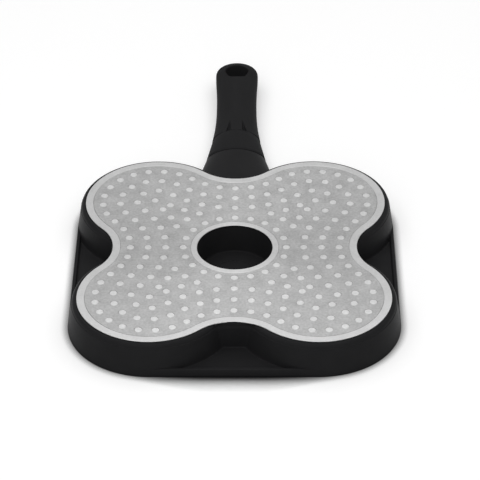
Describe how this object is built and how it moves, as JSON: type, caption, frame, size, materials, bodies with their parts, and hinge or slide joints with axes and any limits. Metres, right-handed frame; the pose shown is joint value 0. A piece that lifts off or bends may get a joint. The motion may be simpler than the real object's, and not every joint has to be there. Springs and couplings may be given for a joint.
{
  "type": "burger pan",
  "caption": "Square burger pan with round cups, a clover-shaped induction base round a central recess, and a screwed-on handle with a hanging hole, standing base up.",
  "frame": {"origin": "centre of the rim plane, the flat cook-side face on which the pan stands base up", "axes": "+Z from the rim plane to the base face, +Y along the handle towards its tail, +X across the pan"},
  "size_m": [0.2798, 0.4579, 0.03],
  "materials": {
    "coated_aluminium": "satin black non-stick coating on die-cast aluminium",
    "machined_aluminium": "faced in a lathe",
    "stainless_plate": "magnetic stainless steel, faced with the base",
    "phenolic": "moulded black phenolic, satin",
    "silicone": "black heat-resistant silicone",
    "zinc_plated_steel": "bright zinc plate",
    "brass": "turned"
  },
  "bodies": {
    "root": {"pan_body": "coated_aluminium", "induction_plate": "stainless_plate", "threaded_insert": "brass", "heat_gasket": "silicone", "heat_collar": "phenolic", "handle_grip": "phenolic", "handle_screw": "zinc_plated_steel", "flat_washer": "zinc_plated_steel", "lock_washer": "zinc_plated_steel"}
  },
  "joints": []
}
